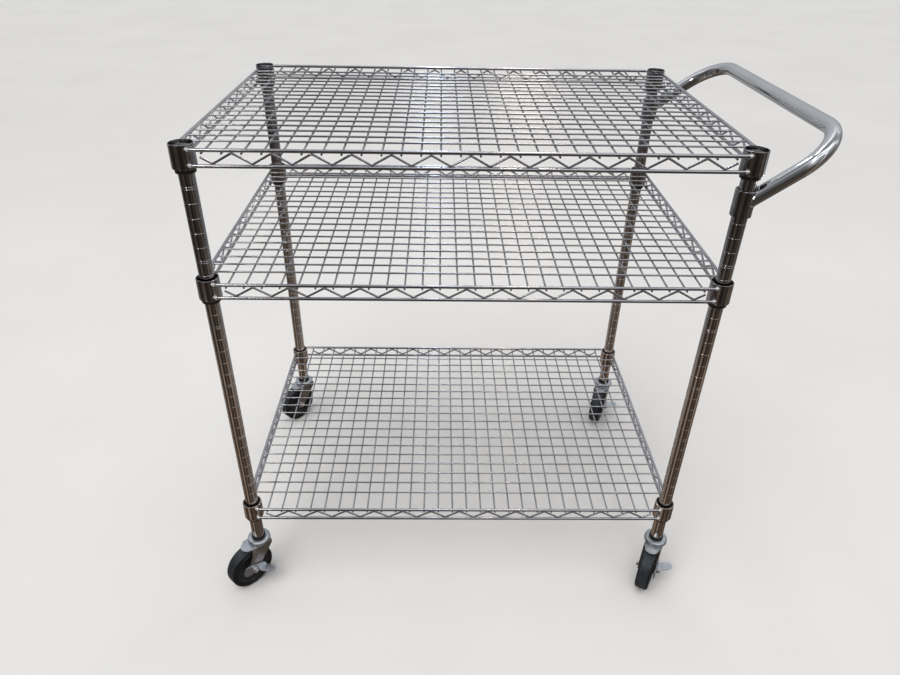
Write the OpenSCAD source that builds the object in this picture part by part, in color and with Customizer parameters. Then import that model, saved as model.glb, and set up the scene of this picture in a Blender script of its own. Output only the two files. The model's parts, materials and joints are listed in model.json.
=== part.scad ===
// Wire shelf cart: three welded wire shelves on four grooved posts, a tubular push handle
// and four swivel stem casters, three of them with a brake lever. Millimetres, +Z up.
// The origin is on the floor, under the middle of the cart's overall box.

/* [Posts] */
// Distance between post centres along the cart
span_x = 878; // [700:2:1100]
// Distance between post centres across the cart
span_y = 582; // [420:2:640]
// Outer diameter of a post
post_d = 25.4; // [24:0.1:26]
// Wall thickness of a post
post_wall = 1.3; // [1:0.1:2]
// Depth of the height-setting grooves
groove_depth = 0.8; // [0.4:0.1:0.9]
// Groove pitches between the bottom and the middle shelf
middle_steps = 21; // [14:1:26]
// Groove pitches between the middle and the top shelf
top_steps = 9; // [6:1:14]

/* [Shelves] */
// Number of wires across each shelf
cross_wires = 28; // [20:2:36]
// Number of wires along each shelf
long_wires = 18; // [12:2:22]
// Diameter of the shelf surface wires
mat_wire_d = 3.4; // [2.8:0.2:4]
// Diameter of the edge wires
edge_wire_d = 6; // [5:0.5:7]
// Diameter of the zigzag wire between the edge wires
snake_wire_d = 3.8; // [3:0.2:4.4]
// Height of the corner collars
collar_h = 38.5; // [36:0.5:44]
// Outer diameter of a corner collar
collar_d = 38.8; // [38:0.2:40]

/* [Handle] */
// Diameter of the handle tube
handle_d = 25.4; // [20:0.2:28]
// Length of a handle leg from the post centre to the grip bar's centre line
handle_reach = 175; // [150:1:220]
// Angle of the handle legs above horizontal
handle_angle = 36; // [25:1:45]
// Centre-line radius of the two handle bends
handle_bend_r = 83; // [60:1:100]
// Depth of the handle sleeves' middle below the top rims
handle_drop = 86; // [80:1:110]

/* [Casters] */
// Wheel diameter
wheel_d = 100; // [96:1:104]
// Wheel tread width
wheel_w = 28; // [24:1:30]
// Distance from swivel axis to wheel axle
trail = 33; // [30:1:38]
// Heading of the front left wheel behind its swivel axis
heading_fl = 227; // [0:1:359]
// Heading of the front right wheel
heading_fr = 241; // [0:1:359]
// Heading of the back left wheel
heading_bl = 231; // [0:1:359]
// Heading of the back right wheel
heading_br = 245; // [0:1:359]

/* [Hidden] */
$fn = 48;
post_r = post_d / 2;
groove_pitch = 25.4;
groove_w = 2.2;

// Caster heights, measured from the floor
wheel_r = wheel_d / 2;
crown_z0 = wheel_d + 2;
crown_z1 = crown_z0 + 3;
race_z0 = crown_z1 + 0.6;
race_z1 = race_z0 + 8.6;
post_z0 = race_z1 + 2.8;
race_lip = 4;

// Rim heights of the three shelves, from the floor up
foot_to_rim = 102.6;
rim_z = [
    post_z0 + foot_to_rim,
    post_z0 + foot_to_rim + middle_steps * groove_pitch,
    post_z0 + foot_to_rim + (middle_steps + top_steps) * groove_pitch
];
cap_drop = 5.6;
post_z1 = rim_z[2] - cap_drop;
first_groove = 17.8;
groove_count = middle_steps + top_steps;

// Collars and split sleeves
collar_r = collar_d / 2;
collar_wall = 2;
sleeve_r = post_r + 3.6;
sleeve_z0 = -46;
sleeve_z1 = -7.5;
sleeve_gap = 1.2;

// Wires, measured from the rim and from the post centres
edge_z = -6.5;
lower_edge_z = -31.2;
edge_offset_y = 17;
edge_offset_x = 10.5;
edge_end_x = 13;
edge_end_y = 7;
long_z = edge_z - 1.4;
cross_z = long_z - mat_wire_d - 0.02;
nugget_d = 1.8;
edge_y = span_y / 2 + edge_offset_y;
edge_x = span_x / 2 + edge_offset_x;
cross_margin = 45;
long_margin = 51.7;
cross_pitch = 2 * (edge_x - cross_margin) / (cross_wires - 1);
long_pitch = 2 * (edge_y - long_margin) / (long_wires - 1);

// Handle
handle_r = handle_d / 2;
handle_wall = 1.5;
handle_leg_y = span_y / 2 + 4;
handle_z = rim_z[2] - handle_drop;
clamp_h = 44;
clamp_r = 17;
clamp_bore_r = post_r + 1.9;
liner_inset = 2;

// Caster pieces
rim_r = wheel_r - 12;
race_r = 24.5;
crown_r = 23.5;
nose_reach = 45;
nose_r = 15;
leg_t = 2.5;
leg_y = wheel_w / 2 + 2;
axle_r = 4;
axle_end_r = 12;
kingpin_r = 6;
running_gap = 0.06;
brake_t = 2.2;
brake_y = leg_y + leg_t + 0.4;
grip_r = post_r + 2;

// Post centres and caster headings by corner
corners = ["fl", "fr", "bl", "br"];
corner_xy = [[-1, -1], [1, -1], [-1, 1], [1, 1]];
headings = [heading_fl, heading_fr, heading_bl, heading_br];
braked = [true, true, false, true];
shelves = ["bottom", "middle", "top"];

// Shift that puts the origin under the middle of the overall box
wheel_round = 5;
function wheel_low(c, a) =
    c + trail * a - (wheel_r - wheel_round) * abs(a)
    - (wheel_w / 2 - wheel_round) * sqrt(1 - a * a) - wheel_round;
low_x = min(wheel_low(-span_x / 2, cos(heading_fl)), wheel_low(-span_x / 2, cos(heading_bl)));
low_y = min(wheel_low(-span_y / 2, sin(heading_fl)), wheel_low(-span_y / 2, sin(heading_fr)));
high_x = span_x / 2 + handle_reach * cos(handle_angle) + handle_r;
high_y = edge_y + edge_wire_d / 2;
shift = [-(low_x + high_x) / 2, -(low_y + high_y) / 2, 0];

// A round bar between two points
module bar(p, q, d) {
    v = q - p;
    translate(p) rotate([0, acos(v.z / norm(v)), atan2(v.y, v.x)]) cylinder(h = norm(v), d = d);
}

// Places its children at each post centre
module at_posts() {
    for (c = corner_xy) translate([c.x * span_x / 2, c.y * span_y / 2, 0]) children();
}

// Height of groove j below the top, and its one or two notches
function groove_z(j) = rim_z[2] - first_groove - j * groove_pitch;
function notch(z) = [
    [post_r, z - groove_w / 2], [post_r - groove_depth, z - groove_w / 5],
    [post_r - groove_depth, z + groove_w / 5], [post_r, z + groove_w / 2]
];
double_gap = 1.9;
post_outline = concat(
    [[post_r - post_wall, post_z0], [post_r, post_z0]],
    [for (j = [groove_count:-1:0]) for (o = j % 5 == 2 ? [-double_gap, double_gap] : [0])
        each notch(groove_z(j) + o)],
    [[post_r, post_z1], [post_r - post_wall, post_z1]]
);

module post(i) {
    c = corner_xy[i];
    color("silver")
        translate([c.x * span_x / 2, c.y * span_y / 2, 0])
            rotate_extrude() polygon(post_outline);
}

module post_caps() {
    cap_t = 1.6;
    cap_slope = 1.2;
    plug_h = 10;
    plug_r = post_r - post_wall;
    color("dimgray") at_posts() {
        translate([0, 0, post_z1]) cylinder(h = cap_t, r1 = post_r, r2 = post_r - cap_slope);
        translate([0, 0, post_z1 - plug_h]) cylinder(h = plug_h, r = plug_r);
    }
}

function cross_x(i) = (i - (cross_wires - 1) / 2) * cross_pitch;
function long_y(j) = (j - (long_wires - 1) / 2) * long_pitch;

// The grid of one shelf: wires along the cart lie on wires across it. Weld nuggets join
// wire i across to two neighbouring wires along, which makes the grid one piece.
module mat(rim) {
    long_end = edge_x - edge_wire_d / 2 + 0.6;
    cross_end = edge_y + 1;
    color("lightsteelblue") translate([0, 0, rim]) {
        for (i = [0:cross_wires - 1])
            bar([cross_x(i), -cross_end, cross_z], [cross_x(i), cross_end, cross_z], mat_wire_d);
        for (j = [0:long_wires - 1])
            bar([-long_end, long_y(j), long_z], [long_end, long_y(j), long_z], mat_wire_d);
        for (i = [0:cross_wires - 1], k = [0, 1])
            translate([cross_x(i), long_y((i + k) % long_wires), cross_z])
                cylinder(h = long_z - cross_z, d = nugget_d);
    }
}

// One edge truss along X: two wires with a zigzag welded between them.
// The zigzag touches the lower wire between wires 0 and 1, 2 and 3 and so on.
module truss(half, count, pitch) {
    points = count - 1;
    tip_z = (edge_z + lower_edge_z) / 2 + 3;
    first_x = -(points - 1) / 2 * pitch;
    function zig(k) = [first_x + k * pitch, 0, k % 2 == 0 ? lower_edge_z : edge_z];
    tip_x = first_x - (tip_z - lower_edge_z) / (edge_z - lower_edge_z) * pitch;
    for (z = [edge_z, lower_edge_z]) bar([-half, 0, z], [half, 0, z], edge_wire_d);
    for (k = [0:points - 2]) bar(zig(k), zig(k + 1), snake_wire_d);
    bar([tip_x, 0, tip_z], zig(0), snake_wire_d);
    bar([-tip_x, 0, tip_z], zig(points - 1), snake_wire_d);
}

// A front (-1) or back (1) truss, ending on the outside of the collars
module truss_x(rim, side) {
    color("lightsteelblue") difference() {
        translate([0, side * edge_y, rim]) truss(span_x / 2 - edge_end_x, cross_wires, cross_pitch);
        collar_room(rim);
    }
}

// A left (-1) or right (1) truss, ending against the collars
module truss_y(rim, side) {
    color("lightsteelblue") difference() {
        translate([side * edge_x, 0, rim]) rotate([0, 0, 90])
            truss(span_y / 2 - edge_end_y, long_wires, long_pitch);
        collar_room(rim);
    }
}

// The space of the collars, cut out of the trusses that are welded to them
module collar_room(rim) {
    at_posts() translate([0, 0, rim - collar_h]) cylinder(h = collar_h, r = collar_r);
}

module collars(rim) {
    color("silver") at_posts() translate([0, 0, rim - collar_h]) difference() {
        cylinder(h = collar_h, r = collar_r);
        translate([0, 0, -1]) cylinder(h = collar_h + 2, r = collar_r - collar_wall);
    }
}

// Two half shells of plastic between a collar and its post
module sleeves(rim) {
    color("black") at_posts() translate([0, 0, rim]) difference() {
        translate([0, 0, sleeve_z0]) cylinder(h = sleeve_z1 - sleeve_z0, r = sleeve_r);
        translate([0, 0, sleeve_z0 - 1]) cylinder(h = sleeve_z1 - sleeve_z0 + 2, r = post_r + 0.05);
        translate([-sleeve_gap / 2, -sleeve_r - 1, sleeve_z0 - 1])
            cube([sleeve_gap, 2 * sleeve_r + 2, sleeve_z1 - sleeve_z0 + 2]);
    }
}

// The handle's U in its own plane, X along the legs, for a tube of radius r
module handle_run(r, start) {
    straight = handle_reach - handle_bend_r;
    inner_y = handle_leg_y - handle_bend_r;
    for (side = [-1, 1]) {
        translate([start, side * handle_leg_y, 0]) rotate([0, 90, 0])
            cylinder(h = straight - start, r = r);
        translate([straight, side * inner_y, 0]) rotate([0, 0, side < 0 ? -90 : 0])
            rotate_extrude(angle = 90) translate([handle_bend_r, 0]) circle(r = r);
    }
    translate([handle_reach, -inner_y, 0]) rotate([-90, 0, 0]) cylinder(h = 2 * inner_y, r = r);
}

module handle_tube() {
    color("gainsboro") difference() {
        translate([span_x / 2, 0, handle_z]) rotate([0, -handle_angle, 0]) difference() {
            handle_run(handle_r, 0);
            handle_run(handle_r - handle_wall, -5);
        }
        for (side = [-1, 1]) translate([span_x / 2, side * span_y / 2, handle_z - clamp_h])
            cylinder(h = 2 * clamp_h, r = clamp_r);
        // The leg ends stop at the sleeves' middle
        translate([span_x / 2 - clamp_h, -span_y, handle_z - 2 * clamp_h])
            cube([clamp_h, 2 * span_y, 4 * clamp_h]);
    }
}

// The two sleeves that hold the handle on the right-hand posts
module handle_clamps() {
    color("silver") for (side = [-1, 1])
        translate([span_x / 2, side * span_y / 2, handle_z - clamp_h / 2]) difference() {
            cylinder(h = clamp_h, r = clamp_r);
            translate([0, 0, -1]) cylinder(h = clamp_h + 2, r = clamp_bore_r);
        }
}

// Split plastic liners between the handle sleeves and the posts
module handle_inserts() {
    liner_h = clamp_h - 2 * liner_inset;
    color("black") for (side = [-1, 1])
        translate([span_x / 2, side * span_y / 2, handle_z - liner_h / 2]) difference() {
            cylinder(h = liner_h, r = clamp_bore_r - 0.1);
            translate([0, 0, -1]) cylinder(h = liner_h + 2, r = post_r + 0.05);
            translate([-clamp_r - 1, -sleeve_gap / 2, -1])
                cube([2 * clamp_r + 2, sleeve_gap, liner_h + 2]);
        }
}

// Black cups round the lower ends of the posts, above the casters
module stem_grips() {
    lip_h = 4.5;
    pin_room = 10;
    color("black") at_posts() translate([0, 0, race_z1]) difference() {
        cylinder(h = post_z0 - race_z1 + lip_h, r = grip_r);
        translate([0, 0, post_z0 - race_z1]) cylinder(h = lip_h + 1, r = post_r);
        translate([0, 0, -1]) cylinder(h = pin_room, r = kingpin_r);
    }
}

// Each caster's kingpin: a rivet head under the fork, the pin, and the bolt in the post
module stem_bolts() {
    head_h = 2.6;
    head_r = 9;
    head_gap = 0.3;
    expander_z = post_z0 + 5;
    expander_h = 42;
    nut_h = 6;
    nut_r = 8;
    overlap = 0.1;
    color("gray") at_posts() {
        translate([0, 0, crown_z0 - head_gap - head_h]) cylinder(h = head_h, r = head_r);
        translate([0, 0, crown_z0 - head_gap - overlap])
            cylinder(h = expander_z + 1 - crown_z0, r = kingpin_r);
        translate([0, 0, expander_z]) cylinder(h = expander_h, r = post_r - post_wall - head_gap);
        translate([0, 0, expander_z + expander_h]) cylinder(h = nut_h, r = nut_r, $fn = 6);
    }
}

// The fixed bearing cups on top of the forks
module raceways() {
    cup = race_z1 - race_z0;
    color("lightslategray") at_posts() translate([0, 0, race_z0]) rotate_extrude() polygon([
        [kingpin_r, cup], [race_r - 5, cup], [race_r - 2, cup - 0.8], [race_r - 0.4, cup - 2.6],
        [race_r, cup - 4.4], [race_r, 0], [race_r - 2, 0], [race_r - 2, race_lip],
        [2 * kingpin_r, race_lip], [2 * kingpin_r, 0], [kingpin_r, 0]
    ]);
}

// Places its children in a caster's own frame: X behind the swivel axis, Z up from the floor
module caster(i) {
    c = corner_xy[i];
    translate([c.x * span_x / 2, c.y * span_y / 2, 0]) rotate([0, 0, headings[i]]) children();
}

// Points on an arc about (cx, cy), from angle a to angle b
function arc(cx, cy, r, a, b, n) =
    [for (k = [0:n]) [cx + r * cos(a + (b - a) * k / n), cy + r * sin(a + (b - a) * k / n)]];

// Outline of the fork's crown: a round plate drawn out to a nose over the wheel
nose_x = nose_reach - nose_r;
nose_turn = acos((crown_r - nose_r) / nose_x);
crown_outline = concat(
    arc(0, 0, crown_r, nose_turn, 360 - nose_turn, 30),
    arc(nose_x, 0, nose_r, -nose_turn, nose_turn, 14)
);

// Outline of a fork leg in its plane: wide under the crown, round at the axle
leg_outline = concat(
    [[-19, crown_z1], [-19, crown_z1 - 12]],
    arc(trail, wheel_r, axle_end_r, 215, 375, 16),
    [[31, crown_z1 - 14], [31, crown_z1]]
);

module fork(i) {
    color("lightslategray") caster(i) difference() {
        union() {
            translate([0, 0, crown_z0]) linear_extrude(crown_z1 - crown_z0) polygon(crown_outline);
            for (side = [-1, 1]) translate([0, side < 0 ? -leg_y : leg_y + leg_t, 0])
                rotate([90, 0, 0]) linear_extrude(leg_t) polygon(leg_outline);
        }
        translate([0, 0, crown_z0 - 1])
            cylinder(h = crown_z1 - crown_z0 + 2, r = kingpin_r + running_gap);
        translate([trail, -leg_y - leg_t - 1, wheel_r]) rotate([-90, 0, 0])
            cylinder(h = 2 * (leg_y + leg_t + 1), r = axle_r);
        // The crown's corners over the legs are rounded off
        for (side = [-1, 1])
            translate([-wheel_r, side * (leg_y + leg_t + crown_r) - crown_r, wheel_r])
                cube([2 * wheel_r, 2 * crown_r, wheel_d]);
    }
}

// Axle bolt with its head on the right of the heading and its nut on the left
module axle(i) {
    nut_y = braked[i] ? brake_y + brake_t + 0.4 : leg_y + leg_t;
    nut_r = 7.4;
    nut_h = 6;
    head_h = 5;
    thread_gap = 0.02;
    color("gray") caster(i) translate([trail, 0, wheel_r]) {
        translate([0, -leg_y - leg_t, 0]) rotate([-90, 0, 0])
            cylinder(h = leg_y + leg_t + nut_y + nut_h + 2, r = axle_r);
        translate([0, -leg_y - leg_t - head_h, 0]) rotate([-90, 0, 0])
            cylinder(h = head_h, r = nut_r, $fn = 6);
        translate([0, nut_y, 0]) rotate([-90, 0, 0]) difference() {
            cylinder(h = nut_h, r = nut_r, $fn = 6);
            translate([0, 0, -1]) cylinder(h = nut_h + 2, r = axle_r + thread_gap);
        }
    }
}

module wheel_place(i) {
    caster(i) translate([trail, 0, wheel_r]) rotate([90, 0, 0]) children();
}

// Hub, web and rim of the wheel, turned about the axle
module wheel_core(i) {
    hub_r = 11;
    hub_w = wheel_w / 2 + 1.6;
    rim_in = rim_r - 4;
    rim_w = wheel_w / 2 - 2;
    web = 4;
    half = [
        [axle_r + running_gap, hub_w], [hub_r - 2, hub_w], [hub_r, hub_w - 4], [hub_r + 1, web],
        [rim_in - 1, web], [rim_in, rim_w], [rim_r, rim_w]
    ];
    n = len(half);
    color("dimgray") wheel_place(i) rotate_extrude()
        polygon(concat(half, [for (k = [n - 1:-1:0]) [half[k].x, -half[k].y]]));
}

// The rubber tread bonded on the wheel's rim
module tyre(i) {
    half_w = wheel_w / 2;
    chamfer = 0.5;
    color("black") wheel_place(i) rotate_extrude() polygon(concat(
        [[rim_r, -half_w + chamfer]],
        arc(wheel_r - wheel_round, -half_w + wheel_round, wheel_round, -90, 0, 6),
        arc(wheel_r - wheel_round, half_w - wheel_round, wheel_round, 0, 90, 6),
        [[rim_r, half_w - chamfer]]
    ));
}

// Side lever of the wheel brake: a plate on the axle with a lobe behind, and a pedal
// ahead of the axle that is bent outwards
lobe_r = 14;
lever_outline = concat(
    arc(13, 4, lobe_r, -115, 105, 14),
    [[-6, 12], [-24, 4], [-28, -4], [-26, -8], [-8, -10]]
);
pedal_outline = [[-7, 0], [-27, 0], [-38, 19], [-35, 27], [-26, 29], [-17, 22], [-8, 8]];
pedal_z = -7;
pedal_t = 2.4;

module brake(i) {
    overlap = 0.4;
    color("lightslategray") caster(i) translate([trail, 0, wheel_r]) difference() {
        union() {
            translate([0, brake_y + brake_t, 0]) rotate([90, 0, 0])
                linear_extrude(brake_t) polygon(lever_outline);
            translate([0, brake_y + brake_t - overlap, pedal_z])
                linear_extrude(pedal_t) polygon(pedal_outline);
        }
        translate([0, brake_y - 1, 0]) rotate([-90, 0, 0])
            cylinder(h = brake_t + 2, r = axle_r + running_gap);
    }
}

module placed() {
    translate(shift) children();
}

for (i = [0:3]) {
    placed() post(i);
    placed() fork(i);
    placed() axle(i);
    placed() wheel_core(i);
    placed() tyre(i);
}
for (i = [0:2]) {
    placed() mat(rim_z[i]);
    placed() truss_x(rim_z[i], -1);
    placed() truss_x(rim_z[i], 1);
    placed() truss_y(rim_z[i], -1);
    placed() truss_y(rim_z[i], 1);
    placed() collars(rim_z[i]);
    placed() sleeves(rim_z[i]);
}
placed() post_caps();
placed() handle_tube();
placed() handle_clamps();
placed() handle_inserts();
placed() stem_grips();
placed() stem_bolts();
placed() raceways();
placed() brake(0);  // brake_fl
placed() brake(1);  // brake_fr
placed() brake(3);  // brake_br
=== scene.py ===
"""Looks of the wire shelf cart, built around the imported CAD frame. Metres, +X towards the
push handle, +Y towards the back, +Z up, floor at z = 0."""
import bpy
import bmesh
import json
import math
from mathutils import Matrix, Vector


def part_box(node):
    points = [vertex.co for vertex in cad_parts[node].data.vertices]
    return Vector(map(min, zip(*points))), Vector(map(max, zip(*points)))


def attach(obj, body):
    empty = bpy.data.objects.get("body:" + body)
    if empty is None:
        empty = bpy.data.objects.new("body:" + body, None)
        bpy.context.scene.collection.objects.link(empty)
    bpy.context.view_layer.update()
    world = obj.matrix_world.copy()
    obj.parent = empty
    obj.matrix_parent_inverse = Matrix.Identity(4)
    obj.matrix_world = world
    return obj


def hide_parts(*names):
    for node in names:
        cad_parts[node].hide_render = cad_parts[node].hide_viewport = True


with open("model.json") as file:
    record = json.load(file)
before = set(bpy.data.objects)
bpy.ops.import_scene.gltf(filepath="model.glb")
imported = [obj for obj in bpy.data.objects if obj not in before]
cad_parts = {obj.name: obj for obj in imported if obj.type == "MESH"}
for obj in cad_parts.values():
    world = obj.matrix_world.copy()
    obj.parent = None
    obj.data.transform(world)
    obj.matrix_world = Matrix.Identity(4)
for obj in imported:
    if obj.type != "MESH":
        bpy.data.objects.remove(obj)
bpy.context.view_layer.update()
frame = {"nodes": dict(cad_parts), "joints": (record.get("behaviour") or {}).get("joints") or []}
MM = 0.001

# ---------------------------------------------------------------- places, from the frame
CORNERS = ("fl", "fr", "bl", "br")
SHELVES = ("bottom", "middle", "top")
BRAKED = ("fl", "fr", "br")


def middle(node):
    """The middle of a CAD node's box."""
    low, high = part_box(node)
    return (low + high) / 2


POST = {c: middle("post_" + c) for c in CORNERS}
POST_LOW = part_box("post_fl")[0].z
POST_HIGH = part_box("post_fl")[1].z
RIM = {s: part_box("collars_" + s)[1].z for s in SHELVES}
CENTRE = Vector(((POST["fl"].x + POST["fr"].x) / 2, (POST["fl"].y + POST["bl"].y) / 2, 0))
HALF_X = (POST["fr"].x - POST["fl"].x) / 2
HALF_Y = (POST["bl"].y - POST["fl"].y) / 2
JOINT = {j["name"]: j for j in frame["joints"]}

# ---------------------------------------------------------------- named sizes
POST_R = 12.7 * MM
GROOVE_PITCH = 25.4 * MM
GROOVE_DEPTH = 0.6 * MM
FIRST_GROOVE = 17.8 * MM
DOUBLE_GAP = 1.9 * MM
EDGE_R = 3.0 * MM
MAT_R = 1.7 * MM
SNAKE_R = 1.9 * MM
SNAKE_TURN = 3.2 * MM
WELD_SINK = 0.9 * MM
EDGE_Z = -6.5 * MM
LOWER_EDGE_Z = -31.2 * MM
LONG_Z = EDGE_Z - 1.4 * MM
CROSS_Z = LONG_Z - 3.15 * MM
EDGE_Y = HALF_Y + 17 * MM
EDGE_X = HALF_X + 10.5 * MM
EDGE_END = 14 * MM
CROSS_COUNT = 28
LONG_COUNT = 18
CROSS_PITCH = 2 * (EDGE_X - 45 * MM) / (CROSS_COUNT - 1)
LONG_PITCH = 2 * (EDGE_Y - 51.7 * MM) / (LONG_COUNT - 1)
COLLAR_H = 38.5 * MM
COLLAR_R = 19.2 * MM
WHEEL_R = 50 * MM
WHEEL_W = 28 * MM
TRAIL = 33 * MM
AXLE_R = 4 * MM
KINGPIN_R = 6 * MM
CUP_R = 24.5 * MM
CROWN_R = 23.5 * MM
CROWN_T = 3 * MM
NOSE_X = 30 * MM
NOSE_R = 15 * MM
LEG_T = 2.5 * MM
LEG_Y = WHEEL_W / 2 + 2 * MM
LEG_END_R = 12 * MM
HEX_R = 7.2 * MM
WASHER_R = 8 * MM
WASHER_T = 0.9 * MM
BRAKE_T = 2.2 * MM
BRAKE_GAP = 0.4 * MM
BRAKE_ROOM = 3 * MM
HANDLE_R = 12.7 * MM
HANDLE_BEND_R = 83 * MM
HANDLE_TILT = math.radians(36)
HANDLE_SLEEVE_R = 17 * MM
HANDLE_BORE_R = POST_R + 1.9 * MM
SLIP = 0.06 * MM
SPLIT_ANGLE = 0.05
SMOOTH_ANGLE = 38
ROUND_ANGLE = 35
TREAD_TILT = 0.35

# Stands a flat outline up: its second coordinate becomes the height
UPRIGHT = Matrix(((1, 0, 0, 0), (0, 0, 1, 0), (0, 1, 0, 0), (0, 0, 0, 1)))


# ---------------------------------------------------------------- mesh helpers
def new_object(name, verts, faces, smooth_angle=SMOOTH_ANGLE):
    mesh = bpy.data.meshes.new(name)
    mesh.from_pydata([tuple(v) for v in verts], [], faces)
    mesh.validate()
    obj = bpy.data.objects.new(name, mesh)
    bpy.context.scene.collection.objects.link(obj)
    tidy_shading(obj, smooth_angle)
    return obj


def tidy_shading(obj, smooth_angle=SMOOTH_ANGLE):
    """Outward normals, smooth faces, and sharp edges where the surface turns quickly."""
    bm = bmesh.new()
    bm.from_mesh(obj.data)
    bmesh.ops.recalc_face_normals(bm, faces=bm.faces)
    limit = math.radians(smooth_angle)
    for f in bm.faces:
        f.smooth = True
    for e in bm.edges:
        e.smooth = not (len(e.link_faces) == 2 and e.calc_face_angle(0) > limit)
    bm.to_mesh(obj.data)
    bm.free()


class Shape:
    """Collects vertices and faces of one piece, made of several closed shells."""

    def __init__(self):
        self.verts, self.faces = [], []

    def add(self, verts, faces, place=None):
        base = len(self.verts)
        self.verts += [place @ Vector(v) if place else Vector(v) for v in verts]
        self.faces += [[base + i for i in f] for f in faces]
        return self

    def make(self, name, smooth_angle=SMOOTH_ANGLE):
        return new_object(name, self.verts, self.faces, smooth_angle)


def tube(path, radius, sides, cap=0.35):
    """A round wire along a path, with slightly domed ends. radius may be a list, one for each point."""
    path = [Vector(p) for p in path]
    n = len(path)
    radii = list(radius) if isinstance(radius, (list, tuple)) else [radius] * n
    tangents = []
    for i in range(n):
        a = path[max(i - 1, 0)]
        b = path[min(i + 1, n - 1)]
        tangents.append((b - a).normalized())
    up = Vector((0, 0, 1)) if abs(tangents[0].z) < 0.9 else Vector((1, 0, 0))
    side = tangents[0].cross(up).normalized()
    rings = []
    for i in range(n):
        if i:
            turn = tangents[i - 1].rotation_difference(tangents[i])
            side = (turn @ side).normalized()
        rings.append((path[i], radii[i], side.copy(), tangents[i]))
    first, last = rings[0], rings[-1]
    ends = []
    for step, shrink in ((cap, 0.72), (cap * 0.55, 0.93)):
        ends.append((first[0] - first[3] * first[1] * step, first[1] * shrink, first[2], first[3]))
    rings = ends + rings
    for step, shrink in ((cap * 0.55, 0.93), (cap, 0.72)):
        rings.append((last[0] + last[3] * last[1] * step, last[1] * shrink, last[2], last[3]))
    verts = []
    for point, r, side, along in rings:
        other = along.cross(side)
        for k in range(sides):
            a = 2 * math.pi * k / sides
            verts.append(point + side * (r * math.cos(a)) + other * (r * math.sin(a)))
    faces = []
    for i in range(len(rings) - 1):
        for k in range(sides):
            q = (k + 1) % sides
            faces.append([i * sides + k, i * sides + q, (i + 1) * sides + q, (i + 1) * sides + k])
    faces.append(list(range(sides))[::-1])
    faces.append([(len(rings) - 1) * sides + k for k in range(sides)])
    return verts, faces


def lathe(profile, segments, start=0.0, sweep=2 * math.pi):
    """Turns a closed outline of (radius, height) about Z. A sweep under a full turn gets flat ends."""
    full = sweep > 2 * math.pi - 1e-6
    rows = segments if full else segments + 1
    m = len(profile)
    verts = []
    for i in range(rows):
        a = start + sweep * i / segments
        verts += [Vector((r * math.cos(a), r * math.sin(a), z)) for r, z in profile]
    faces = []
    for i in range(segments):
        j = (i + 1) % rows
        for k in range(m):
            q = (k + 1) % m
            faces.append([i * m + k, j * m + k, j * m + q, i * m + q])
    if not full:
        faces.append(list(range(m))[::-1])
        faces.append([segments * m + k for k in range(m)])
    return verts, faces


def solid_lathe(profile, segments):
    """Turns an open outline that starts and ends on the axis, with a pole at each end."""
    inner = profile[1:-1]
    m = len(inner)
    verts = [Vector((0, 0, profile[0][1]))]
    for i in range(segments):
        a = 2 * math.pi * i / segments
        verts += [Vector((r * math.cos(a), r * math.sin(a), z)) for r, z in inner]
    verts.append(Vector((0, 0, profile[-1][1])))
    top = len(verts) - 1
    faces = []
    for i in range(segments):
        j = (i + 1) % segments
        a, b = 1 + i * m, 1 + j * m
        faces.append([0, b, a])
        for k in range(m - 1):
            faces.append([a + k, b + k, b + k + 1, a + k + 1])
        faces.append([a + m - 1, b + m - 1, top])
    return verts, faces


def prism(outline, low, high):
    """A flat plate: an outline in X, Y between two heights."""
    n = len(outline)
    verts = [Vector((x, y, low)) for x, y in outline] + [Vector((x, y, high)) for x, y in outline]
    faces = [list(range(n))[::-1], list(range(n, 2 * n))]
    for k in range(n):
        q = (k + 1) % n
        faces.append([k, q, n + q, n + k])
    return verts, faces


def arc(cx, cy, r, a, b, n):
    """Points on an arc about (cx, cy), from angle a to angle b in degrees."""
    angles = [math.radians(a + (b - a) * k / n) for k in range(n + 1)]
    return [(cx + r * math.cos(t), cy + r * math.sin(t)) for t in angles]


def near(cx, cy, points):
    """Outline points given in millimetres from the place (cx, cy)."""
    return [(cx + x * MM, cy + y * MM) for x, y in points]


def ring_section(inner, outer, low, high, edge):
    """Section of a ring with small flat edges all round."""
    return [(inner, low + edge), (inner + edge, low), (outer - edge, low), (outer, low + edge),
            (outer, high - edge), (outer - edge, high), (inner + edge, high), (inner, high - edge)]


def even_normals(obj):
    """Large faces keep their own direction, so shading stays clean beside small edges."""
    mod = obj.modifiers.new("even_normals", "WEIGHTED_NORMAL")
    mod.keep_sharp = True
    mod.weight = 80


def round_edges(obj, width, segments=3):
    """Rounds the sharp edges and writes the result into the mesh."""
    mod = obj.modifiers.new("edge_round", "BEVEL")
    mod.width = width
    mod.segments = segments
    mod.limit_method = "ANGLE"
    mod.angle_limit = math.radians(ROUND_ANGLE)
    mod.harden_normals = False
    bpy.context.view_layer.update()
    graph = bpy.context.evaluated_depsgraph_get()
    done = bpy.data.meshes.new_from_object(obj.evaluated_get(graph))
    obj.modifiers.clear()
    old = obj.data
    obj.data = done
    done.name = old.name
    bpy.data.meshes.remove(old)
    tidy_shading(obj)


# ---------------------------------------------------------------- materials
def node_tree(name):
    mat = bpy.data.materials.new(name)
    mat.use_nodes = True
    nodes = mat.node_tree.nodes
    return mat, nodes, mat.node_tree.links, nodes["Principled BSDF"]


def noise(nodes, links, coords, scale, detail=3.0, rough=0.55):
    n = nodes.new("ShaderNodeTexNoise")
    n.inputs["Scale"].default_value = scale
    n.inputs["Detail"].default_value = detail
    n.inputs["Roughness"].default_value = rough
    links.new(coords, n.inputs["Vector"])
    return n.outputs["Fac"]


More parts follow.
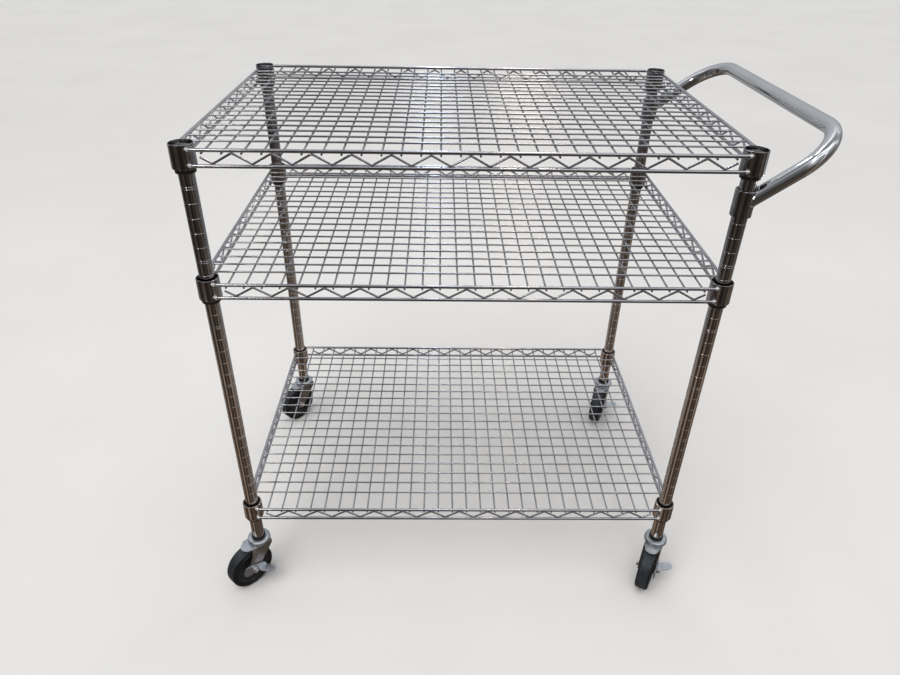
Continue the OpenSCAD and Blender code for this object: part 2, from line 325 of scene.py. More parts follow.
def ramp(nodes, links, value, stops):
    r = nodes.new("ShaderNodeValToRGB")
    e = r.color_ramp.elements
    while len(e) < len(stops):
        e.new(0.5)
    for item, (at, colour) in zip(e, stops):
        item.position = at
        item.color = (*colour, 1)
    links.new(value, r.inputs["Fac"])
    return r.outputs["Color"]


def span(nodes, links, value, low, high):
    """Stretches a 0 to 1 value over low to high."""
    m = nodes.new("ShaderNodeMapRange")
    m.inputs["To Min"].default_value = low
    m.inputs["To Max"].default_value = high
    links.new(value, m.inputs["Value"])
    return m.outputs["Result"]


def share(nodes, links, value, low, high):
    """Says how far a value is on its way from low to high, as 0 to 1."""
    m = nodes.new("ShaderNodeMapRange")
    m.inputs["From Min"].default_value = low
    m.inputs["From Max"].default_value = high
    links.new(value, m.inputs["Value"])
    return m.outputs["Result"]


def multiplied(nodes, links, first, second):
    """A node whose result is the product of two colours."""
    m = nodes.new("ShaderNodeMix")
    m.data_type = "RGBA"
    m.blend_type = "MULTIPLY"
    m.inputs["Factor"].default_value = 1.0
    links.new(first, m.inputs[6])
    links.new(second, m.inputs[7])
    return m


def bump(nodes, links, shader, height, strength, distance):
    b = nodes.new("ShaderNodeBump")
    b.inputs["Strength"].default_value = strength
    b.inputs["Distance"].default_value = distance
    links.new(height, b.inputs["Height"])
    links.new(b.outputs["Normal"], shader.inputs["Normal"])


def object_coords(nodes, links, scale=(1, 1, 1)):
    c = nodes.new("ShaderNodeTexCoord")
    m = nodes.new("ShaderNodeMapping")
    m.inputs["Scale"].default_value = scale
    links.new(c.outputs["Object"], m.inputs["Vector"])
    return m.outputs["Vector"]


def chrome(name, light, dark, rough_low, rough_high, cloud=22, scratch=(220, 220, 60), wave=0.03):
    """Plated metal: cloudy tint, fine drawn scratches in the roughness, and a faint wave in the surface."""
    mat, nodes, links, shader = node_tree(name)
    coords = object_coords(nodes, links)
    drawn = object_coords(nodes, links, scratch)
    tint = ramp(nodes, links, noise(nodes, links, coords, cloud, 4), ((0.32, dark), (0.7, light)))
    links.new(tint, shader.inputs["Base Color"])
    shader.inputs["Metallic"].default_value = 1.0
    fine = noise(nodes, links, drawn, 1.0, 2)
    links.new(span(nodes, links, fine, rough_low, rough_high), shader.inputs["Roughness"])
    bump(nodes, links, shader, noise(nodes, links, coords, 60, 2), wave, 0.0004)
    return mat


def paint_floor_reflection(mat):
    """Painted reflection in the base colour: the lower part of a post is brighter and warmer, as if it
    mirrored the floor it stands close to, and the upper part is darker and cooler.
    """
    nodes, links = mat.node_tree.nodes, mat.node_tree.links
    shader = nodes["Principled BSDF"]
    tint = shader.inputs["Base Color"].links[0].from_socket
    split = nodes.new("ShaderNodeSeparateXYZ")
    links.new(object_coords(nodes, links), split.inputs["Vector"])
    rise = share(nodes, links, split.outputs["Z"], 0.1, 1.0)
    # Painted reflection: bright warm colour low down, darker cool colour high up
    reflection_gain = ramp(nodes, links, rise, ((0.1, (1.6, 1.52, 1.44)), (0.5, (1.35, 1.30, 1.25)),
                                     (0.8, (0.76, 0.79, 0.84))))
    warm = multiplied(nodes, links, tint, reflection_gain)
    warm.clamp_result = True
    links.new(warm.outputs[2], shader.inputs["Base Color"])


def zinc(name, light, dark):
    """Bluish zinc plate: blotchy colour, satin gloss, faint pitting and duller patches."""
    mat, nodes, links, shader = node_tree(name)
    coords = object_coords(nodes, links)
    tint = ramp(nodes, links, noise(nodes, links, coords, 60, 6, 0.65), ((0.3, dark), (0.62, light)))
    links.new(tint, shader.inputs["Base Color"])
    shader.inputs["Metallic"].default_value = 0.92
    links.new(span(nodes, links, noise(nodes, links, coords, 130, 4), 0.24, 0.44),
              shader.inputs["Roughness"])
    bump(nodes, links, shader, noise(nodes, links, coords, 900, 3), 0.12, 0.0004)
    return mat


def plastic(name, light, dark, rough=(0.38, 0.6), grain=1400):
    """Moulded plastic with a fine grain and rubbed lighter patches."""
    mat, nodes, links, shader = node_tree(name)
    coords = object_coords(nodes, links)
    tint = ramp(nodes, links, noise(nodes, links, coords, 90, 5, 0.6), ((0.35, dark), (0.75, light)))
    links.new(tint, shader.inputs["Base Color"])
    links.new(span(nodes, links, noise(nodes, links, coords, 240, 3), *rough), shader.inputs["Roughness"])
    bump(nodes, links, shader, noise(nodes, links, coords, grain, 2), 0.18, 0.0003)
    return mat


def rubber(name, dark, middle_tone, light, rough):
    """Tyre rubber: black with dusty scuffs and fine mould grain."""
    mat, nodes, links, shader = node_tree(name)
    coords = object_coords(nodes, links)
    scuff = noise(nodes, links, coords, 120, 6, 0.7)
    tint = ramp(nodes, links, scuff, ((0.35, dark), (0.62, middle_tone), (0.85, light)))
    links.new(tint, shader.inputs["Base Color"])
    links.new(span(nodes, links, scuff, *rough), shader.inputs["Roughness"])
    bump(nodes, links, shader, noise(nodes, links, coords, 1100, 3), 0.25, 0.0004)
    return mat


MAT_WIRE = chrome("wire_chrome_look", (0.64, 0.65, 0.68), (0.48, 0.49, 0.52), 0.14, 0.19, wave=0.004)
MAT_POST = chrome("post_chrome_look", (0.62, 0.60, 0.585), (0.50, 0.475, 0.46), 0.05, 0.11,
                  cloud=14, scratch=(90, 90, 12), wave=0.005)
# Painted floor reflection in the posts' base colour
paint_floor_reflection(MAT_POST)
MAT_COLLAR = chrome("collar_chrome_look", (0.60, 0.58, 0.57), (0.42, 0.40, 0.39), 0.07, 0.16,
                    cloud=60, scratch=(70, 70, 30), wave=0.012)
# Painted floor reflection in the collars' base colour
paint_floor_reflection(MAT_COLLAR)
# Painted glint: the weld beads get a near-white, partly diffuse colour that stands in for bright glints on
# them
MAT_WELD_GLINT = chrome("weld_glint_look", (0.95, 0.95, 0.97), (0.72, 0.72, 0.74), 0.16, 0.34,
                  cloud=90, wave=0.08)
MAT_WELD_GLINT.node_tree.nodes["Principled BSDF"].inputs["Metallic"].default_value = 0.6
MAT_HANDLE = chrome("handle_chrome_look", (0.80, 0.82, 0.84), (0.70, 0.72, 0.74), 0.05, 0.085,
                    cloud=12, wave=0.015)
MAT_ZINC = zinc("zinc_look", (0.64, 0.68, 0.73), (0.38, 0.41, 0.44))
# Painted reflection: a darker, brown-tinted copy of the zinc for the fork legs, standing in for a brown
# floor mirrored in them
MAT_LEG_PAINTED_REFLECTION = zinc("fork_leg_painted_reflection_look", (0.44, 0.42, 0.41), (0.25, 0.235, 0.225))
MAT_BOLT = zinc("bolt_look", (0.86, 0.86, 0.88), (0.60, 0.60, 0.62))
MAT_BLACK = plastic("black_plastic_look", (0.016, 0.016, 0.018), (0.005, 0.005, 0.006))
MAT_CAP = plastic("cap_plastic_look", (0.10, 0.10, 0.095), (0.035, 0.035, 0.034), (0.42, 0.66))
MAT_HUB = plastic("wheel_plastic_look", (0.045, 0.047, 0.053), (0.018, 0.019, 0.022), (0.2, 0.4), 700)
MAT_TYRE = rubber("tyre_wall_look", (0.005, 0.005, 0.006), (0.010, 0.011, 0.013), (0.03, 0.032, 0.036),
                  (0.2, 0.42))
# Partly scuffing, partly painted sheen: the tread rubber is lighter and bluer than the sidewalls
MAT_TREAD_SCUFF_AND_SHEEN = rubber("tyre_tread_scuff_and_sheen_look", (0.010, 0.013, 0.016), (0.026, 0.033, 0.040), (0.075, 0.083, 0.09),
                   (0.26, 0.5))


def finish_piece(obj, body, mat, slot, *nodes):
    """Gives a piece its material, evens its normals, hangs it under its body's empty and hides the CAD
    nodes it stands for. The slot is not used.
    """
    obj.data.materials.clear()
    obj.data.materials.append(mat)
    even_normals(obj)
    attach(obj, body)
    if nodes:
        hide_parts(*nodes)


# ---------------------------------------------------------------- posts and caps
def post_profile():
    """Outer wall with its rolled grooves, then the bore. Every fifth groove is a double one."""
    wall = 1.3 * MM
    edge = 0.4 * MM
    half = 1.1 * MM
    points = [(POST_R - wall, POST_LOW), (POST_R - edge, POST_LOW), (POST_R, POST_LOW + edge)]
    heights = []
    j = 0
    while RIM["top"] - FIRST_GROOVE - j * GROOVE_PITCH > RIM["bottom"] - COLLAR_H:
        z = RIM["top"] - FIRST_GROOVE - j * GROOVE_PITCH
        heights += [z + DOUBLE_GAP, z - DOUBLE_GAP] if j % 5 == 2 else [z]
        j += 1
    for z in sorted(heights):
        for k in range(-5, 6):
            depth = max(0, 0.5 + 0.5 * math.cos(math.pi * k / 4)) if abs(k) < 5 else 0
            points.append((POST_R - GROOVE_DEPTH * depth, z + half * k / 4))
    points += [(POST_R, POST_HIGH - edge), (POST_R - edge, POST_HIGH), (POST_R - wall, POST_HIGH)]
    return points


def build_posts():
    """Four grooved tubes, each closed by a plastic cap with a low rim."""
    profile = post_profile()
    for c in CORNERS:
        place = Matrix.Translation((POST[c].x, POST[c].y, 0))
        obj = Shape().add(*lathe(profile, 56), place).make("post_tube_" + c, 50)
        finish_piece(obj, "root", MAT_POST, "post_chrome", "post_" + c)
    caps = Shape()
    rim = near(POST_R - 0.3 * MM, POST_HIGH, [(-1.4, -9), (-1.2, 0), (0, 0.1), (0.2, 0.6), (-0.3, 1.2),
                                              (-1.6, 1.55), (-2.4, 1.3), (-4.5, 1.15)])
    dome = [(0, rim[0][1])] + rim + [(0, POST_HIGH + 1.1 * MM)]
    for c in CORNERS:
        caps.add(*solid_lathe(dome, 40), Matrix.Translation((POST[c].x, POST[c].y, 0)))
    finish_piece(caps.make("post_top_caps"), "root", MAT_CAP, "cap_plastic", "post_caps")


# ---------------------------------------------------------------- shelves
def cross_x(i):
    return CENTRE.x + (i - (CROSS_COUNT - 1) / 2) * CROSS_PITCH


def long_y(j):
    return CENTRE.y + (j - (LONG_COUNT - 1) / 2) * LONG_PITCH


def build_mat(shelf):
    """The flat grid of a shelf: wires across, and wires along lying on them."""
    z = RIM[shelf]
    cross_end = EDGE_Y + 1.4 * MM
    long_end = EDGE_X - EDGE_R + 0.7 * MM
    across, along = Shape(), Shape()
    for i in range(CROSS_COUNT):
        x = cross_x(i)
        across.add(*tube([(x, CENTRE.y - cross_end, z + CROSS_Z), (x, CENTRE.y + cross_end, z + CROSS_Z)],
                         MAT_R, 12))
    for j in range(LONG_COUNT):
        y = long_y(j)
        along.add(*tube([(CENTRE.x - long_end, y, z + LONG_Z), (CENTRE.x + long_end, y, z + LONG_Z)],
                        MAT_R, 12))
    finish_piece(across.make("cross_wires_" + shelf), "root", MAT_WIRE, "wire_chrome", "mat_" + shelf)
    finish_piece(along.make("long_wires_" + shelf), "root", MAT_WIRE, "wire_chrome", "mat_" + shelf)


def snake_path(count, pitch):
    """Centre line of the zigzag wire in its own plane: (along, height), with rounded turns."""
    points = count - 1
    first = -(points - 1) / 2 * pitch
    low = LOWER_EDGE_Z + EDGE_R + SNAKE_R - WELD_SINK
    high = EDGE_Z - EDGE_R - SNAKE_R + WELD_SINK
    tip_z = (low + high) / 2 + 1.5 * MM
    reach = (tip_z - low) / (high - low) * pitch
    knots = [(first - reach, tip_z)]
    knots += [(first + k * pitch, low if k % 2 == 0 else high) for k in range(points)]
    knots += [(-first + reach, tip_z)]
    path = [knots[0]]
    for a, b, c in zip(knots, knots[1:], knots[2:]):
        b, before, after = Vector(b), Vector(a), Vector(c)
        start = b + (before - b).normalized() * SNAKE_TURN
        end = b + (after - b).normalized() * SNAKE_TURN
        for t in (0, 0.2, 0.4, 0.5, 0.6, 0.8, 1):
            p = start * (1 - t) ** 2 + b * (2 * t * (1 - t)) + end * t ** 2
            path.append((p.x, p.y))
    path.append(knots[-1])
    return path


def ring_gap(offset):
    """Distance from a post's centre line to the collar's wall, along a wire that passes at offset."""
    return math.sqrt(max((COLLAR_R + 0.2 * MM) ** 2 - offset ** 2, 0))


def build_truss(shelf, side):
    """One edge of a shelf: two edge wires with a zigzag wire between them."""
    z = RIM[shelf]
    ends_x = side in ("front", "back")
    sign = -1 if side in ("front", "left") else 1
    if ends_x:
        half = HALF_X - EDGE_END
        count, pitch = CROSS_COUNT, CROSS_PITCH

        def place(u, height):
            return Vector((CENTRE.x + u, CENTRE.y + sign * EDGE_Y, z + height))
    else:
        half = HALF_Y - ring_gap(EDGE_X - HALF_X) + 0.8 * MM
        count, pitch = LONG_COUNT, LONG_PITCH

        def place(u, height):
            return Vector((CENTRE.x + sign * EDGE_X, CENTRE.y + u, z + height))
    edges = Shape()
    squash_len = 7 * MM
    us = [-half, -half + squash_len * 0.5, -half + squash_len]
    us += [0] + [-u for u in reversed(us)]
    thin = (0.8, 0.95, 1, 1, 1, 0.95, 0.8) if ends_x else (1,) * len(us)
    for height in (EDGE_Z, LOWER_EDGE_Z):
        edges.add(*tube([place(u, height) for u in us], [EDGE_R * t for t in thin], 16, 0.5))
    name = side + "_edge_wires_" + shelf
    node = "truss_" + side + "_" + shelf
    finish_piece(edges.make(name), "root", MAT_WIRE, "wire_chrome", node)
    snake = Shape().add(*tube([place(u, h) for u, h in snake_path(count, pitch)], SNAKE_R, 12, 0.3))
    finish_piece(snake.make(side + "_zigzag_wire_" + shelf), "root", MAT_WIRE, "wire_chrome", node)


def build_collars(shelf):
    """Corner collars with a rolled lip and a flared foot, and the split sleeves inside them."""
    z = RIM[shelf]
    lip = near(COLLAR_R, z, [(-1.7, -0.5), (-1.35, -0.1), (-0.85, 0), (-0.35, -0.1), (0, -0.5), (0.05, -3)])
    foot = near(COLLAR_R, z - COLLAR_H, [(0.4, 4), (0.5, 1), (0, 0), (-1.2, 0), (-1.7, 1.5)])
    top, low = z - 7.5 * MM, z - 46 * MM
    half = near(POST_R, low, [(0.06, 0.4), (0.46, 0), (2.8, 0), (3.6, 0.8)])
    half += near(POST_R, top, [(3.6, -0.5), (3.1, 0), (0.06, 0)])
    collars, sleeves = Shape(), Shape()
    for c in CORNERS:
        place = Matrix.Translation((POST[c].x, POST[c].y, 0))
        collars.add(*lathe(lip + foot, 56), place)
        for turn in (0, math.pi):
            start = turn + math.pi / 2 + SPLIT_ANGLE
            sleeves.add(*lathe(half, 28, start, math.pi - 2 * SPLIT_ANGLE), place)
    finish_piece(collars.make("corner_collars_" + shelf, 45), "root", MAT_COLLAR, "collar_chrome",
                 "collars_" + shelf)
    finish_piece(sleeves.make("split_sleeves_" + shelf), "root", MAT_BLACK, "black_plastic",
                 "sleeves_" + shelf)


def build_welds(shelf):
    """Small weld beads where the edge wires meet the collars, two at each end of a wire."""
    beads = Shape()
    z = RIM[shelf]
    squash = Matrix.Diagonal((1.25, 0.9, 0.85, 1))
    for sx in (-1, 1):
        for sy in (-1, 1):
            for height in (EDGE_Z, LOWER_EDGE_Z):
                for out, inward, up, size in ((-1.2, 0.4, 0, 3.6), (1.6, 0.9, 0.5, 2.7)):
                    r = size * MM
                    ball = [(0, -r), (r * 0.5, -r * 0.86), (r * 0.87, -r * 0.5), (r, 0),
                            (r * 0.87, r * 0.5), (r * 0.5, r * 0.86), (0, r)]
                    at = Matrix.Translation((CENTRE.x + sx * (HALF_X - EDGE_END + out * MM),
                                             CENTRE.y + sy * (EDGE_Y - inward * MM),
                                             z + height + up * MM))
                    beads.add(*solid_lathe(ball, 10), at @ squash)
    # The beads take the material with the painted glint
    finish_piece(beads.make("weld_beads_" + shelf), "root", MAT_WELD_GLINT, "wire_chrome")


# ---------------------------------------------------------------- handle
def build_handle():
    """A tube bent twice, its ends coped onto the two sleeves, with liners between sleeve and post."""
    low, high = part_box("handle_tube")
    clamp_low, clamp_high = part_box("handle_clamps")
    leg_y = (high.y - low.y) / 2 - HANDLE_R
    start_x = CENTRE.x + HALF_X
    start_z = (clamp_low.z + clamp_high.z) / 2
    reach = (high.x - HANDLE_R - start_x) / math.cos(HANDLE_TILT)
    outward = Vector((-math.sin(HANDLE_TILT), 0, math.cos(HANDLE_TILT)))

    def place(u, y):
        """The point at u along the sloping legs' plane, y to the side of the middle."""
        return Vector((start_x + u * math.cos(HANDLE_TILT), CENTRE.y + y,
                       start_z + u * math.sin(HANDLE_TILT)))

    def on_sleeve(y, away, radius):
        """The place on a sleeve's wall that a line along the handle's leg reaches."""
        off = y - math.copysign(HALF_Y, y)
        gap_x = math.sqrt(max(radius * radius - off * off, 0))
        u = (gap_x + away * math.sin(HANDLE_TILT)) / math.cos(HANDLE_TILT)
        return place(u, y) + outward * away

    begin = 15.5 * MM
    straight = reach - HANDLE_BEND_R
    half_grip = leg_y - HANDLE_BEND_R
    quarter = [math.pi / 2 * k / 20 for k in range(21)]
    path = [place(begin + (straight - begin) * k / 4, -leg_y) for k in range(4)]
    path += [place(straight + HANDLE_BEND_R * math.sin(a), -leg_y + HANDLE_BEND_R * (1 - math.cos(a)))
             for a in quarter]
    path += [place(reach, -half_grip + 2 * half_grip * k / 6) for k in range(1, 6)]
    path += [place(straight + HANDLE_BEND_R * math.cos(a), half_grip + HANDLE_BEND_R * math.sin(a))
             for a in quarter]
    path += [place(straight - (straight - begin) * k / 4, leg_y) for k in range(1, 5)]
    sides = 40
    verts, faces = tube(path, HANDLE_R, sides, 0.02)
    for i, v in enumerate(verts):
        ring = min(i, len(verts) - 1 - i) // sides
        if ring < 3:
            y = v.y - CENTRE.y
            away = (v - place(0, y)).dot(outward)
            verts[i] = on_sleeve(y, away, HANDLE_SLEEVE_R - (3 - ring) * 0.3 * MM)
    bent = Shape().add(verts, faces).make("handle_bent_tube")
    finish_piece(bent, "root", MAT_HANDLE, "handle_chrome", "handle_tube")

    z0, z1 = clamp_low.z, clamp_high.z
    sleeve = ring_section(HANDLE_BORE_R, HANDLE_SLEEVE_R, z0, z1, 0.5 * MM)
    inner, outer = POST_R + SLIP, HANDLE_BORE_R - 0.1 * MM
    liner = [(inner, z0 + 2 * MM), (outer, z0 + 2 * MM), (outer, z1 - 2 * MM), (inner, z1 - 2 * MM)]
    sleeves, liners = Shape(), Shape()
    for c in ("fr", "br"):
        at = Matrix.Translation((POST[c].x, POST[c].y, 0))
        sleeves.add(*lathe(sleeve, 48), at)
        for turn in (0, math.pi):
            liners.add(*lathe(liner, 24, turn + SPLIT_ANGLE, math.pi - 2 * SPLIT_ANGLE), at)
    finish_piece(sleeves.make("handle_sleeves"), "root", MAT_COLLAR, "handle_chrome", "handle_clamps")
    finish_piece(liners.make("handle_liners"), "root", MAT_BLACK, "black_plastic", "handle_inserts")

    beads = Shape()
    for sy in (-1, 1):
        ring = []
        for k in range(37):
            a = 2 * math.pi * k / 36
            ring.append(on_sleeve(sy * leg_y + HANDLE_R * math.sin(a), HANDLE_R * math.cos(a),
                                  HANDLE_SLEEVE_R))
        beads.add(*tube(ring, 1.0 * MM, 8, 0.1))
    finish_piece(beads.make("handle_weld_beads"), "root", MAT_HANDLE, "handle_chrome")


# ---------------------------------------------------------------- casters
def caster_place(c):
    """The caster's own frame: X behind the swivel axis, Y to the left of that, Z up from the floor."""
    swivel = Vector(JOINT["swivel_" + c]["pos_m"])
    roll = Vector(JOINT["roll_" + c]["pos_m"])
    heading = math.atan2(roll.y - swivel.y, roll.x - swivel.x)
    return Matrix.Translation((swivel.x, swivel.y, 0)) @ Matrix.Rotation(heading, 4, "Z")


def hub_place(c):
    """The caster's own frame, moved to the middle of its wheel."""
    return caster_place(c) @ Matrix.Translation((TRAIL, 0, WHEEL_R))


def axle_place(c):
    """The wheel's middle, with Z along the axle, to the left of the heading."""
    return hub_place(c) @ Matrix.Rotation(math.radians(-90), 4, "X")


def build_fixed_caster_parts():
    """Bearing cups and grip cups: they sit on the posts and don't turn with the forks."""
    race_low, race_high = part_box("raceways")
    z0, z1 = race_low.z, race_high.z
    cup = [(KINGPIN_R, z1)]
    cup += near(CUP_R, z1, [(-6.5, 0), (-4, -0.35), (-1.8, -1.3), (-0.5, -2.8), (-0.2, -4.4), (-0.5, -5),
                            (-2.2, -5.2), (-2.2, -6.2), (-0.4, -6.35), (0, -6.8)])
    cup += near(CUP_R, z0, [(0, 0.6), (-0.5, 0), (-2, 0), (-2, 4)])
    cup += [(2 * KINGPIN_R, z0 + 4 * MM), (2 * KINGPIN_R, z0), (KINGPIN_R, z0)]
    grip_low, grip_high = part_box("stem_grips")
    g0, g1 = grip_low.z, grip_high.z
    grip_r = POST_R + 2 * MM
    grip = [(KINGPIN_R, g0)] + near(grip_r, g0, [(-0.4, 0), (0, 0.5)])
    grip += near(grip_r, g1, [(0, -1.2), (-0.5, -0.3), (-1.2, 0)])
    grip += [(POST_R, g1), (POST_R, POST_LOW), (KINGPIN_R, POST_LOW)]
    cups, grips = Shape(), Shape()
    for c in CORNERS:
        at = Matrix.Translation((POST[c].x, POST[c].y, 0))
        cups.add(*lathe(cup, 56), at)
        grips.add(*lathe(grip, 40), at)
    finish_piece(cups.make("bearing_cups"), "root", MAT_ZINC, "zinc_plate", "raceways")
    finish_piece(grips.make("stem_grip_cups"), "root", MAT_BLACK, "black_plastic", "stem_grips")


def build_fork(c):
    """A pear-shaped crown, cut straight at the sides, and two legs that hang from it."""
    place = caster_place(c)
    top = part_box("fork_" + c)[1].z
    turn = math.degrees(math.acos((CROWN_R - NOSE_R) / NOSE_X))
    outline = arc(0, 0, CROWN_R, turn, 360 - turn, 36) + arc(NOSE_X, 0, NOSE_R, -turn, turn, 18)
    side_limit = LEG_Y + LEG_T
    outline = [(x, max(-side_limit, min(side_limit, y))) for x, y in outline]
    crown = Shape().add(*prism(outline, top - CROWN_T, top), place).make("fork_crown_" + c)
    round_edges(crown, 0.9 * MM)
    finish_piece(crown, "caster_" + c, MAT_ZINC, "zinc_plate", "fork_" + c)
    leg = near(0, top, [(-19, -0.6), (-19, -12)]) + arc(TRAIL, WHEEL_R, LEG_END_R, 215, 375, 18)
    leg += near(0, top, [(31, -14), (31, -0.6)])
    legs = Shape()
    for y0 in (-LEG_Y - LEG_T, LEG_Y):
        legs.add(*prism(leg, y0, y0 + LEG_T), place @ UPRIGHT)
    obj = legs.make("fork_legs_" + c)
    round_edges(obj, 0.7 * MM)
    # The legs take the zinc copy with the painted floor reflection
    finish_piece(obj, "caster_" + c, MAT_LEG_PAINTED_REFLECTION, "zinc_plate", "fork_" + c)


def build_wheel(c):
    """Outlines are (radius, place along the axle). The tyre's tread has its own duller, lighter bluish
    rubber: partly scuffing, partly a painted sheen.
    """
    axle = axle_place(c)
    w = WHEEL_W / 2
    core_in, core_out = WHEEL_R - 16 * MM, WHEEL_R - 12 * MM
    half = [(AXLE_R + SLIP, w + 1.6 * MM)] + near(0, w, [(9, 1.6), (10, 1), (11, -2.4)])
    half += near(0, 0, [(12.5, 5.2), (14, 4.2), (25, 3.8)]) + near(core_in, 0, [(-3, 4.4), (-1, 6.5)])
    half += near(core_in, w, [(0, -3), (0.8, -2)]) + near(core_out, w, [(0, -1.6)])
    profile = half + [(r, -h) for r, h in reversed(half)]
    core = Shape().add(*lathe(profile, 64), axle).make("wheel_centre_" + c, 30)
    finish_piece(core, "wheel_" + c, MAT_HUB, "wheel_plastic", "wheel_core_" + c)
    edge = 5 * MM
    ridge = near(core_out, w, [(0, -0.8), (0.9, -0.1), (1.8, -0.1), (2.4, -0.9), (4.2, -0.9), (4.8, -0.2)])
    ring = [(r, -h) for r, h in ridge]
    ring += arc(WHEEL_R - edge, edge - w, edge, -90, 0, 8) + arc(WHEEL_R - edge, w - edge, edge, 0, 90, 8)
    ring += ridge[::-1]
    tyre = Shape().add(*lathe(ring, 88), axle).make("tyre_tread_" + c, 30)
    finish_piece(tyre, "wheel_" + c, MAT_TYRE, "tyre_rubber", "tyre_" + c)
    # Faces of the tread take the lighter rubber with the painted sheen
    tyre.data.materials.append(MAT_TREAD_SCUFF_AND_SHEEN)
    along = (axle.to_3x3() @ Vector((0, 0, 1))).normalized()
    for face in tyre.data.polygons:
        face.material_index = int(abs(face.normal.dot(along)) < TREAD_TILT)


def hexagon(corner_r, low, high):
    """A six-sided bolt head or nut."""
    angles = [math.radians(60 * k + 15) for k in range(6)]
    return prism([(corner_r * math.cos(a), corner_r * math.sin(a)) for a in angles], low, high)


def build_axle(c):
    """A bolt through the fork's legs: head, shaft, washer and nut, further out beside a brake lever."""
    axle = axle_place(c)
    out = LEG_Y + LEG_T
    nut = out + (BRAKE_ROOM if c in BRAKED else 0)
    shaft = [(0, -out - 1 * MM), (AXLE_R, -out - 1 * MM), (AXLE_R, nut + 7 * MM),
             (AXLE_R - 0.8 * MM, nut + 8 * MM), (0, nut + 8 * MM)]
    rod = Shape().add(*solid_lathe(shaft, 24), axle)
    rod.add(*hexagon(HEX_R, -out - 4.8 * MM, -out - 0.2 * MM), axle)
    rod.add(*hexagon(HEX_R, nut + WASHER_T, nut + 6 * MM), axle)
    bore = AXLE_R + 0.05 * MM
    washer = [(bore, nut), (WASHER_R, nut), (WASHER_R, nut + WASHER_T), (bore, nut + WASHER_T)]
    rod.add(*lathe(washer, 28), axle)
    obj = rod.make("axle_bolt_" + c)
    round_edges(obj, 0.5 * MM, 2)
    finish_piece(obj, "caster_" + c, MAT_BOLT, "bolt_steel", "axle_" + c)


def build_brake(c):
    """Stamped side lever: a lobed plate on the axle and a pedal bent outwards ahead of it."""
    hub = hub_place(c)
    y0 = LEG_Y + LEG_T + BRAKE_GAP
    lobe = arc(13, 4, 14, -115, 105, 30)
    plate = near(0, 0, lobe + [(-6, 12), (-24, 4), (-28, -4), (-26, -8), (-8, -10)])
    lever = Shape().add(*prism(plate, y0, y0 + BRAKE_T), hub @ UPRIGHT)
    root_y = y0 + BRAKE_T - 0.4 * MM
    pedal = near(0, root_y, [(-7, 0), (-27, 0), (-38, 19), (-37, 24), (-35, 27), (-31, 29), (-26, 29),
                             (-17, 22), (-8, 8)])
    lever.add(*prism(pedal, -7 * MM, -4.6 * MM), hub)
    obj = lever.make("brake_lever_" + c)
    round_edges(obj, 0.7 * MM)
    finish_piece(obj, "lever_" + c, MAT_ZINC, "zinc_plate", "brake_" + c)


# ---------------------------------------------------------------- room, lights and camera
def build_room():
    """A pale floor that takes the shadow. The metal doesn't mirror it."""
    mesh = bpy.data.meshes.new("floor")
    far = 14.0
    mesh.from_pydata([(-far, -far, 0), (far, -far, 0), (far, far, 0), (-far, far, 0)], [], [(0, 1, 2, 3)])
    floor = bpy.data.objects.new("floor", mesh)
    bpy.context.scene.collection.objects.link(floor)
    mat, nodes, links, shader = node_tree("pale_floor")
    coords = object_coords(nodes, links)
    tint = ramp(nodes, links, noise(nodes, links, coords, 1.2, 4),
                ((0.3, (0.66, 0.655, 0.64)), (0.7, (0.70, 0.695, 0.68))))
    links.new(tint, shader.inputs["Base Color"])
    shader.inputs["Roughness"].default_value = 0.65
    floor.data.materials.append(mat)
    floor.visible_glossy = False


def area_light(name, at, size, power, colour):
    """A small lamp that looks at the middle of the cart."""
    data = bpy.data.lights.new(name, "AREA")
    data.shape = "RECTANGLE"
    data.size, data.size_y = size
    data.energy = power
    data.color = colour
    obj = bpy.data.objects.new(name, data)
    obj.location = at
    obj.rotation_mode = "QUATERNION"
    obj.rotation_quaternion = (Vector((0, 0, 0.5)) - Vector(at)).to_track_quat("-Z", "Y")
    bpy.context.scene.collection.objects.link(obj)


def build_lights():
    """One very soft sky-like lamp for light and shadow, and two small lamps that the metal mirrors."""
    data = bpy.data.lights.new("soft_sky", "SUN")
    data.energy = 2.1
    data.angle = math.radians(55)
    data.color = (1.0, 0.985, 0.96)
    sky = bpy.data.objects.new("soft_sky", data)
    sky.rotation_mode = "QUATERNION"
    sky.rotation_quaternion = Vector((0.35, 0.45, -1.0)).to_track_quat("-Z", "Y")
    sky.visible_glossy = False
    bpy.context.scene.collection.objects.link(sky)
    area_light("cool_lamp", (-0.12, 0.9, 2.8), (0.14, 0.5), 5, (0.74, 0.85, 1.0))
    area_light("warm_lamp", (0.30, 0.5, 2.8), (0.14, 0.5), 5, (1.0, 0.84, 0.68))
    area_light("front_lamp", (-1.3, -1.9, 2.6), (0.5, 0.35), 6.5, (1.0, 0.98, 0.95))


def mixed(nodes, links, factor, first, second):
    m = nodes.new("ShaderNodeMix")
    m.data_type = "RGBA"
    links.new(factor, m.inputs["Factor"])
    for socket, value in ((m.inputs[6], first), (m.inputs[7], second)):
        if isinstance(value, tuple):
            socket.default_value = (*value, 1)
        else:
            links.new(value, socket)
    return m.outputs[2]


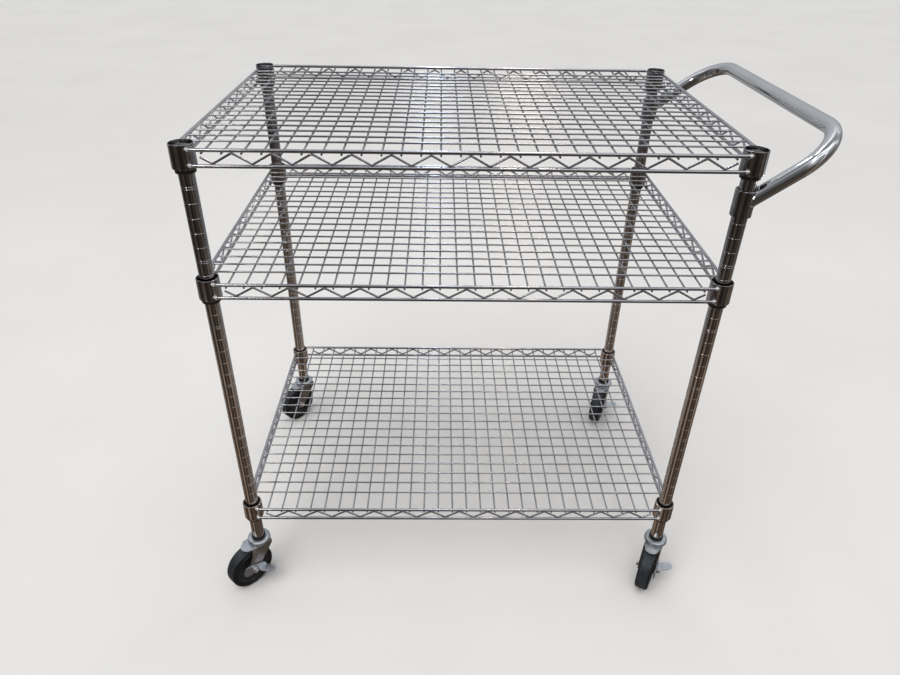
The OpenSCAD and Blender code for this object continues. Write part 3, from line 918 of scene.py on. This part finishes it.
def build_world():
    """Pale studio to the eye. What the metal mirrors is a dim room: bright ceiling, pale wall
    behind, dark furniture in front and a brown floor, broken up by soft upright streaks."""
    world = bpy.data.worlds.new("studio")
    world.use_nodes = True
    nodes, links = world.node_tree.nodes, world.node_tree.links
    background = nodes["Background"]
    coords = nodes.new("ShaderNodeTexCoord")
    split = nodes.new("ShaderNodeSeparateXYZ")
    links.new(coords.outputs["Generated"], split.inputs["Vector"])
    height = share(nodes, links, split.outputs["Z"], -1, 1)
    backness = share(nodes, links, split.outputs["Y"], 0.1, 0.75)
    flat = nodes.new("ShaderNodeMapping")
    flat.inputs["Scale"].default_value = (1, 1, 0.12)
    links.new(coords.outputs["Generated"], flat.inputs["Vector"])
    streaks = noise(nodes, links, flat.outputs["Vector"], 1.5, 1.2, 0.5)
    streak = ramp(nodes, links, streaks, ((0.42, (0.35, 0.34, 0.34)), (0.54, (1.0, 0.98, 0.96)),
                                          (0.60, (3.0, 2.9, 2.85)), (0.66, (1.0, 0.98, 0.96))))
    front = ramp(nodes, links, height, ((0.0, (0.125, 0.101, 0.082)), (0.40, (0.092, 0.076, 0.063)),
                                        (0.52, (0.08, 0.075, 0.07)), (0.70, (0.30, 0.30, 0.31)),
                                        (0.95, (0.62, 0.64, 0.68))))
    back = ramp(nodes, links, height, ((0.0, (0.10, 0.08, 0.065)), (0.16, (0.12, 0.10, 0.085)),
                                       (0.26, (0.30, 0.30, 0.30)), (0.60, (0.40, 0.41, 0.42)),
                                       (0.95, (0.62, 0.64, 0.68))))
    streaked = multiplied(nodes, links, front, streak)
    room = mixed(nodes, links, backness, streaked.outputs[2], back)
    seen = nodes.new("ShaderNodeLightPath")
    colour = mixed(nodes, links, seen.outputs["Is Camera Ray"], room, (0.66, 0.66, 0.65))
    links.new(colour, background.inputs["Color"])
    bpy.context.scene.world = world


def build_camera():
    """A phone's main lens, a little above head height of the cart, looking down at it."""
    data = bpy.data.cameras.new("camera")
    data.sensor_width = 36
    data.lens = 27.166
    data.clip_start, data.clip_end = 0.02, 60
    data.dof.use_dof = False
    pitch, roll, yaw = 0.57055, 0.01807, 0.02046
    forward = Vector((math.sin(yaw) * math.cos(pitch), math.cos(yaw) * math.cos(pitch), -math.sin(pitch)))
    right = Vector((math.cos(yaw), -math.sin(yaw), 0))
    up = right.cross(forward)
    x_axis = right * math.cos(roll) + up * math.sin(roll)
    y_axis = up * math.cos(roll) - right * math.sin(roll)
    cam = bpy.data.objects.new("camera", data)
    turn = Matrix((x_axis, y_axis, -forward)).transposed().to_4x4()
    at = Vector((CENTRE.x - 47.4 * MM, CENTRE.y - 1316.9 * MM, 1293.1 * MM))
    cam.matrix_world = Matrix.Translation(at) @ turn
    bpy.context.scene.collection.objects.link(cam)
    bpy.context.scene.camera = cam


build_camera()
build_posts()
for shelf in SHELVES:
    build_mat(shelf)
    for side in ("front", "back", "left", "right"):
        build_truss(shelf, side)
    build_collars(shelf)
    build_welds(shelf)
build_handle()
build_fixed_caster_parts()
for corner in CORNERS:
    build_fork(corner)
    build_wheel(corner)
    build_axle(corner)
for corner in BRAKED:
    build_brake(corner)
frame["nodes"]["stem_bolts"].data.materials.clear()
frame["nodes"]["stem_bolts"].data.materials.append(MAT_BOLT)
build_room()
build_lights()
build_world()
bpy.context.scene.view_settings.view_transform = "Standard"
